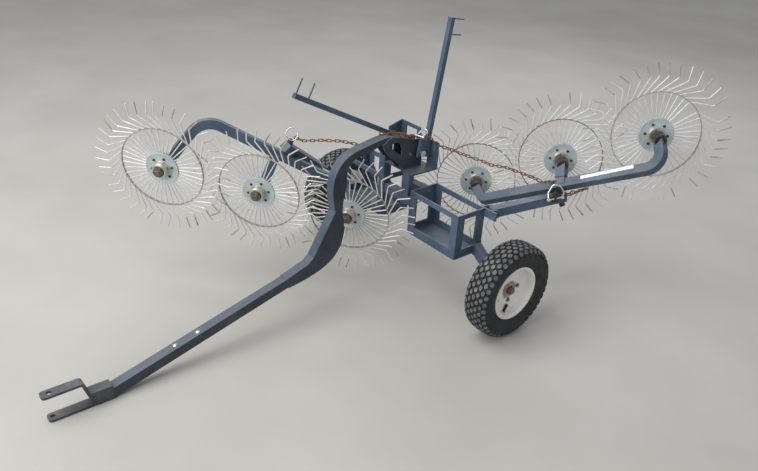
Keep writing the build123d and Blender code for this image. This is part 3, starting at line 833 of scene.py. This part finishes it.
# Places on a rim are (degrees from the rear up, distance from the axle), and a hole has its radius
BOLT_HOLES = ((91.0, 0.0640, 0.0062), (206.5, 0.0710, 0.0066))
WHEEL_BOLTS = ((6.0, 0.048), (272.0, 0.049))
WHEEL_BOLT_SEAT = 0.0086
WHEEL_BOLT_R = 0.0066
WHEEL_BOLT_HIGH = 0.0058
VALVE_FOOT = (255.8, 0.0930)
VALVE_TIP = (266.5, 0.0630)
VALVE_OUT = 0.0165
VALVE = ((-0.0040, 0.0078), (0.0010, 0.0070), (0.0040, 0.0058), (0.0170, 0.0050), (0.0175, 0.0056),
         (0.0290, 0.0056), (0.0305, 0.0042))
# The disc's face at the holes: its distance outward at one radius, and its slope
DISH_R = 0.066
DISH_OUT = 0.0108
DISH_SLOPE = 0.19


def rim_point(sign, angle, away, offset):
    """A place on a road wheel, offset outward from its middle plane."""
    a = radians(angle)
    place = Vector((sign * offset, cos(a) * away, sin(a) * away))
    return site(sign * TRACK / 2, 0, TYRE_R) + place


def hole_shade_disc(shape, sign, angle, away, radius):
    """A shallow dark inset that lies on the dished disc: painted shade that stands for a bolt hole."""
    profile = ((-0.0020, radius), (0.0002, radius), (0.0006, radius * 0.9), (0.0003, radius * 0.8),
               (0.0003, 0.0003))
    offset = DISH_OUT + (away - DISH_R) * DISH_SLOPE
    inward = (rim_point(sign, 0, 0, 0) - rim_point(sign, angle, away, 0)).normalized()
    shape.lathe(profile, rim_point(sign, angle, away, offset), X * sign + inward * DISH_SLOPE, 24)


for side, sign in SIDES:
    centre = rim_point(sign, 0, 0, 0)
    outward = X * sign
    shell = Shape()
    shell.turned(RIM, centre, outward, 72)
    rim = build(f"{side}_dished_rim", shell, CREAM, f"{side}_road_wheel", 35)
    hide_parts(f"{side}_rim")
    hub_tube = Shape()
    hub_tube.turned(HUB_TUBE, centre, outward, 36)
    hub_tube.turned(HUB_LIP, centre, outward, 36)
    build(f"{side}_hub_tube", hub_tube, RUSTY_CREAM, f"{side}_road_wheel", 35)
    # The dark insets paint the shade inside the bolt holes; the valve that shares their piece is real rubber
    dark = Shape()
    for angle, away, radius in BOLT_HOLES:
        hole_shade_disc(dark, sign, angle, away, radius)
    foot, tip = rim_point(sign, *VALVE_FOOT, VALVE_OUT), rim_point(sign, *VALVE_TIP, VALVE_OUT)
    dark.lathe(VALVE, foot, tip - foot, 20)
    build(f"{side}_valve_and_hole_shade", dark, RUBBER, f"{side}_road_wheel", 40)
    studs = Shape()
    for angle, away in WHEEL_BOLTS:
        studs.bolt(rim_point(sign, angle, away, WHEEL_BOLT_SEAT), outward, WHEEL_BOLT_R, WHEEL_BOLT_HIGH)
    build(f"{side}_wheel_bolts", studs, NUT, f"{side}_road_wheel", 30)

# Stub axle ends: washer, nut and the end of the thread, just outside each hub
HUB_FACE = 0.0123
STUB_WASHER_HEIGHTS = (0.0002, 0.0020)
STUB_WASHER_RADII = (0.0126, 0.0176)
STUB_NUT_R = 0.0172
STUB_NUT_HIGH = 0.0095
STUB_END = ((0.0100, 0.0127), (0.0150, 0.0127), (0.0162, 0.0115), (0.0164, 0.0003))

axle_ends = Shape()
for side, sign in SIDES:
    outward = X * sign
    seat = site(sign * (TRACK / 2 + HUB_FACE), 0, TYRE_R)
    axle_ends.washer(seat, outward, STUB_WASHER_HEIGHTS, STUB_WASHER_RADII, 28)
    axle_ends.hexagon(seat + outward * STUB_WASHER_HEIGHTS[1], outward, STUB_NUT_R, STUB_NUT_HIGH)
    axle_ends.lathe(STUB_END, seat, outward, 24)
nuts = build("stub_axle_nuts", axle_ends, NUT, "chassis", 30)
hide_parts("axle_nuts")

# Shackle and its lug at the left gang pin, and the wire ring at the right one
SHACKLE_BOW = ((0.5039, 0.2495, 0.5119), (0.4906, 0.2572, 0.5362), (0.4944, 0.2761, 0.5709),
               (0.5184, 0.2921, 0.5709), (0.5322, 0.3045, 0.5445), (0.5290, 0.3030, 0.5210))
SHACKLE_PIN = ((0.5005, 0.2420, 0.5106), (0.5325, 0.3105, 0.5224))
SHACKLE_BEND = 0.016
SHACKLE_WIRE_R = 0.0042
SHACKLE_PIN_R = 0.0036
SHACKLE_EYE_AXIS = Vector((0.42, 0.89, 0.15))
SHACKLE_EYE_HALF = 0.0055
SHACKLE_EYE_RADII = (0.0030, 0.0080)
LUG_FOOT = (0.5120, 0.2780, 0.4980)
LUG_PROFILE = ((0, 0.0085), (0.001, 0.0098), (0.046, 0.0098), (0.048, 0.0080))
BAIL_MIDDLE = (-0.273, -0.489, 0.684)
BAIL_WIDE = Vector((0.63, 0.77, 0.05)).normalized() * 0.024
BAIL_HIGH = Vector((-0.30, 0.15, 0.94)).normalized() * 0.026
BAIL_WIRE_R = 0.0024
BAIL_POINTS = 28


def left_shackle():
    shape = Shape()
    shape.tube(rounded(sites(SHACKLE_BOW), SHACKLE_BEND, 6), SHACKLE_WIRE_R, 12)
    for eye in sites((SHACKLE_BOW[0], SHACKLE_BOW[-1])):
        shape.washer(eye, SHACKLE_EYE_AXIS, (-SHACKLE_EYE_HALF, SHACKLE_EYE_HALF), SHACKLE_EYE_RADII, 24)
    shape.tube(sites(SHACKLE_PIN), SHACKLE_PIN_R, 12)
    build("left_pin_shackle", shape, BRIGHT, "left_gang", 50)
    lug = Shape()
    lug.lathe(LUG_PROFILE, site(*LUG_FOOT), Z, 28)
    build("left_shackle_lug", lug, DARK, "left_gang", 40)


def right_bail():
    shape = Shape()
    turns = [2 * pi * k / BAIL_POINTS for k in range(BAIL_POINTS)]
    ring = [site(*BAIL_MIDDLE) + BAIL_WIDE * cos(a) + BAIL_HIGH * sin(a) for a in turns]
    shape.tube(ring, BAIL_WIRE_R, 8, closed=True)
    build("right_pin_bail", shape, BRIGHT, "right_gang", 50)


left_shackle()
right_bail()

# Blank white strip on the left gang bar
STRIP_ENDS = ((0.5700, 0.3425, 0.6157), (0.7364, 0.4337, 0.7050))
STRIP_OUT = Vector((0.01, -0.71, 0.70))
STRIP_HALF = 0.0075
STRIP_LEVELS = (0.0004, 0.0010)
STRIP_STEPS = 24
STRIP_WAVE = 0.04
STRIP_WAVE_STEP = 1.7


def blank_strip():
    """A thin film with one slightly wavy edge."""
    start, end = sites(STRIP_ENDS)
    run = (end - start).normalized()
    out = (STRIP_OUT - run * STRIP_OUT.dot(run)).normalized()
    wide = out.cross(run).normalized() * STRIP_HALF
    low, high = [], []
    for k in range(STRIP_STEPS + 1):
        spot = start.lerp(end, k / STRIP_STEPS)
        edge = 1.0 + STRIP_WAVE * sin(k * STRIP_WAVE_STEP)
        for level, verts in zip(STRIP_LEVELS, (low, high)):
            verts += [spot + out * level - wide * edge, spot + out * level + wide]
    n = len(low)
    faces = [(0, 1, n + 1, n), (n - 2, 2 * n - 2, 2 * n - 1, n - 1)]
    for i in range(0, 2 * STRIP_STEPS, 2):
        faces += [(i, i + 2, i + 3, i + 1), (n + i, n + i + 1, n + i + 3, n + i + 2),
                  (i, n + i, n + i + 2, i + 2), (i + 1, i + 3, n + i + 3, n + i + 1)]
    shape = Shape()
    shape.add(low + high, faces)
    build("blank_strip", shape, WHITE, "left_gang", 0)


blank_strip()

# Chains: two lift chains from the tower to the gangs, a loose end, and the heap and shackle on the tower
LEFT_CHAIN = (
    (0.070, -0.030, 0.690), (0.100, 0.000, 0.660), (0.135, 0.036, 0.647), (0.170, 0.062, 0.636),
    (0.205, 0.087, 0.627), (0.240, 0.115, 0.618), (0.270, 0.135, 0.607), (0.330, 0.155, 0.615),
    (0.370, 0.195, 0.599), (0.420, 0.226, 0.588), (0.455, 0.251, 0.574), (0.487, 0.300, 0.575),
)
RIGHT_CHAIN = (
    (-0.268, -0.470, 0.664), (-0.246, -0.452, 0.656), (-0.186, -0.404, 0.669), (-0.126, -0.348, 0.675),
    (-0.084, -0.306, 0.668), (-0.054, -0.272, 0.668), (-0.033, -0.252, 0.672), (-0.0265, -0.244, 0.692),
    (-0.018, -0.226, 0.7200), (-0.010, -0.212, 0.7205), (0.004, -0.190, 0.7205), (0.018, -0.150, 0.7150),
    (0.026, -0.118, 0.7010), (0.036, -0.084, 0.6960),
)
CHAIN_TAIL = ((0.530, 0.313, 0.528), (0.539, 0.323, 0.536), (0.565, 0.352, 0.552), (0.590, 0.380, 0.566))
CHAIN_HEAP = (
    (0.000, -0.198, 0.7185), (-0.012, -0.172, 0.7160), (0.006, -0.148, 0.7120), (-0.008, -0.126, 0.7040),
    (0.014, -0.104, 0.6970), (0.030, -0.080, 0.6960), (0.046, -0.060, 0.7050),
)
TOWER_BOW = ((0.034, -0.076, 0.700), (0.034, -0.052, 0.716), (0.040, -0.034, 0.722),
             (0.058, -0.038, 0.716), (0.060, -0.064, 0.700))
TOWER_PIN = ((0.028, -0.076, 0.699), (0.068, -0.066, 0.699))
TOWER_BOW_BEND = 0.010
TOWER_WIRE_R = 0.0034


def chain_piece(name, points, body, **links):
    shape = Shape()
    shape.chain(sites(points), **links)
    return build(name, shape, RUST, body, 60)


left_chain = chain_piece("left_chain", LEFT_CHAIN, None)
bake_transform(left_chain)
right_chain = chain_piece("right_chain", RIGHT_CHAIN, None)
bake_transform(right_chain)
chain_piece("left_chain_tail", CHAIN_TAIL, "left_gang")
chain_piece("chain_heap", CHAIN_HEAP, "chassis", pitch=0.0165, wire=0.0024, half=0.0056)
shackle = Shape()
shackle.tube(rounded(sites(TOWER_BOW), TOWER_BOW_BEND, 5), TOWER_WIRE_R, 10)
shackle.tube(sites(TOWER_PIN), TOWER_WIRE_R, 10)
build("chain_shackle", shackle, BRIGHT, "chassis", 50)

# Bolt ends on the drawbar
DRAWBAR_BOLTS = ((0.030, -1.195, 0.0985), (0.027, -1.101, 0.1185))
DRAWBAR_UP = Vector((0.01, -0.21, 0.98))
ROUND_HEAD = ((-0.002, 0.0005), (-0.002, 0.0095), (0.0020, 0.0095), (0.0042, 0.0060), (0.0050, 0.0005))

pale_bolts = Shape()
for spot in sites(DRAWBAR_BOLTS):
    pale_bolts.turned(ROUND_HEAD, spot, DRAWBAR_UP, 24)
build("drawbar_bolts", pale_bolts, BRIGHT, "chassis", 40)

# Welds
TUBE_START = Vector((0, 0.191, -0.034))
TUBE_END = site(0, -0.700, 0.186)
BAR_BEAD = 0.0026
FRAME_BEAD = 0.0024
WALL_BEAD = 0.0022
BOSS_BEAD = 0.0020
BASKET_BEAD = 0.0017
SOCKET_SEAM_X = 0.0202
SOCKET_SEAM = ((0.1410, -0.0500), (0.1260, -0.0020))
BASKET_XS = (0.088, 0.375)
BASKET_YS = (-0.134, 0.015)
BASKET_ZS = (0.290, 0.481)
CROSS_END_X = 0.0865
CROSS_YS = (-0.115, -0.004)
CROSS_Z = 0.430
CROSS_HALF = 0.0198
LEG_END = (0.3768, -0.0052, 0.3055)
LEG_HALVES = (0.0198, 0.0250)
TOWER_FLOOR_Z = 0.5565
REAR_WALL_XS = (0.0295, 0.0890)
SIDE_WALL_X = 0.0285
SIDE_WALL_YS = (-0.127, -0.033)
STUB_HALF = 0.0200
STUB_JOINTS = {
    # side: the middle stub's end on the bar and its direction, both by row, across and barward
    "right": ((0.0315, -0.0940, 0.1160), (0.018, -0.117, 0.073)),
    "left": ((0.0090, -0.0410, 0.1050), (-0.012, -0.062, 0.073)),
}
BOSS_WELD_R = 0.0245
BOSS_WELD_HEIGHT = 0.0405
BOSS_WELD_CORNERS = 18


def drawbar_welds(shape):
    """Round both ends of the tube, and where the clevis meets the socket."""
    run = (TUBE_END - TUBE_START).normalized()
    shape.bead(square(TUBE_END + run * 0.001, run, 0.0218, 0.0215), BAR_BEAD, True)
    shape.bead(square(TUBE_START + run * 0.0135, run, 0.0210, 0.0210), BAR_BEAD, True)
    for x in (-SOCKET_SEAM_X, SOCKET_SEAM_X):
        shape.bead([Vector((x, y, z)) for y, z in SOCKET_SEAM], BAR_BEAD)


def frame_welds(shape, sign):
    """One side's basket corners, ends of cross members and axle leg, and tower walls on their floor."""
    for x in BASKET_XS:
        for y in BASKET_YS:
            shape.bead([site(sign * x, y, z) for z in BASKET_ZS], BASKET_BEAD)
    for y in CROSS_YS:
        cross_end = site(sign * CROSS_END_X, y, CROSS_Z)
        shape.bead(square(cross_end, X, CROSS_HALF, CROSS_HALF), FRAME_BEAD, True)
    x, y, z = LEG_END
    shape.bead(square(site(sign * x, y, z), X, *LEG_HALVES), FRAME_BEAD, True)
    shape.bead([site(sign * x, 0.0, TOWER_FLOOR_Z) for x in REAR_WALL_XS], FRAME_BEAD)
    shape.bead([site(sign * SIDE_WALL_X, y, TOWER_FLOOR_Z) for y in SIDE_WALL_YS], WALL_BEAD)


def gang_welds(shape, gang):
    """Round the middle stub and round each spindle boss."""
    spot, aim = STUB_JOINTS[gang.side]
    place = gang.middle + gang.off(*spot)
    shape.bead(square(place, gang.off(*aim), STUB_HALF, STUB_HALF, gang.row), BAR_BEAD, True)
    turns = [2 * pi * k / BOSS_WELD_CORNERS for k in range(BOSS_WELD_CORNERS)]
    for hub in gang.hubs.values():
        shape.bead([gang.at(hub, BOSS_WELD_R, a, BOSS_WELD_HEIGHT) for a in turns], BOSS_BEAD, True)


welds = {"chassis": Shape(), "left_gang": Shape(), "right_gang": Shape()}
drawbar_welds(welds["chassis"])
for side, sign in SIDES:
    frame_welds(welds["chassis"], sign)
    gang_welds(welds[f"{side}_gang"], GANG_OF[side])
for body, shape in welds.items():
    build(f"{body}_welds", shape, BLUE_DARK, body, 60)

# Bolts on the tower and the levers; each head faces the side that its spot is on
BOLT_R = 0.0070
BOLT_HIGH = 0.0060
BOLT_SPOTS = (
    ("tower_bolts", "chassis", ((0.0280, -0.1000, 0.6200), (-0.0280, -0.1000, 0.6200))),
    ("left_lever_bolt", "left_lever", ((0.0500, -0.0370, 0.6770),)),
    ("right_lever_bolt", "right_lever", ((-0.0500, -0.1000, 0.6600),)),
)
for name, body, spots in BOLT_SPOTS:
    bolts = Shape()
    for x, y, z in spots:
        bolts.bolt(site(x, y, z), X if x > 0 else -X, BOLT_R, BOLT_HIGH)
    build(name, bolts, NUT, body, 30)

# Floor, world and lights
FLOOR_CORNERS = ((-12, -12), (14, -12), (14, 18), (-12, 18))
WORLD_COLOR = (0.93, 0.95, 1.0, 1)
WORLD_STRENGTH = 0.48


def add_floor():
    mesh = bpy.data.meshes.new("floor")
    mesh.from_pydata([(x, y, -PIN_HEIGHT) for x, y in FLOOR_CORNERS], [], [(0, 1, 2, 3)])
    floor = bpy.data.objects.new("floor", mesh)
    bpy.context.collection.objects.link(floor)
    mat, tree, shader = new_material("pale_floor")
    tone = mottle(tree, coords(tree), (1.4, 6), (0.3, (0.43, 0.415, 0.385)), (0.7, (0.49, 0.475, 0.445)))
    tree.links.new(tone, shader.inputs["Base Color"])
    shader.inputs["Roughness"].default_value = 0.8
    mesh.materials.append(mat)


def add_world():
    world = bpy.data.worlds.new("world")
    world.use_nodes = True
    background = world.node_tree.nodes["Background"]
    background.inputs[0].default_value = WORLD_COLOR
    background.inputs[1].default_value = WORLD_STRENGTH
    bpy.context.scene.world = world


def area(name, place, target, size, power, color):
    data = bpy.data.lights.new(name, "AREA")
    data.shape = "RECTANGLE"
    data.size, data.size_y = size
    data.energy = power
    data.color = color
    obj = bpy.data.objects.new(name, data)
    bpy.context.collection.objects.link(obj)
    obj.location = place
    obj.rotation_euler = (Vector(target) - Vector(place)).to_track_quat("-Z", "Y").to_euler()


add_floor()
add_world()
area("high_softbox", (-1.2, -1.2, 4.6), (0, 1.2, 0.2), (4.0, 4.0), 190, (1.0, 0.99, 0.97))
area("front_softbox", (0.6, -4.2, 2.6), (0, 1.2, 0.3), (3.0, 2.2), 130, (1.0, 0.99, 0.97))
area("side_softbox", (4.2, 0.5, 2.4), (0, 1.2, 0.3), (2.4, 1.6), 12, (1.0, 0.98, 0.95))
area("rear_softbox", (-1.5, 5.2, 3.2), (0, 1.2, 0.3), (3.0, 2.0), 50, (0.95, 0.98, 1.0))
bpy.context.scene.view_settings.view_transform = "Standard"
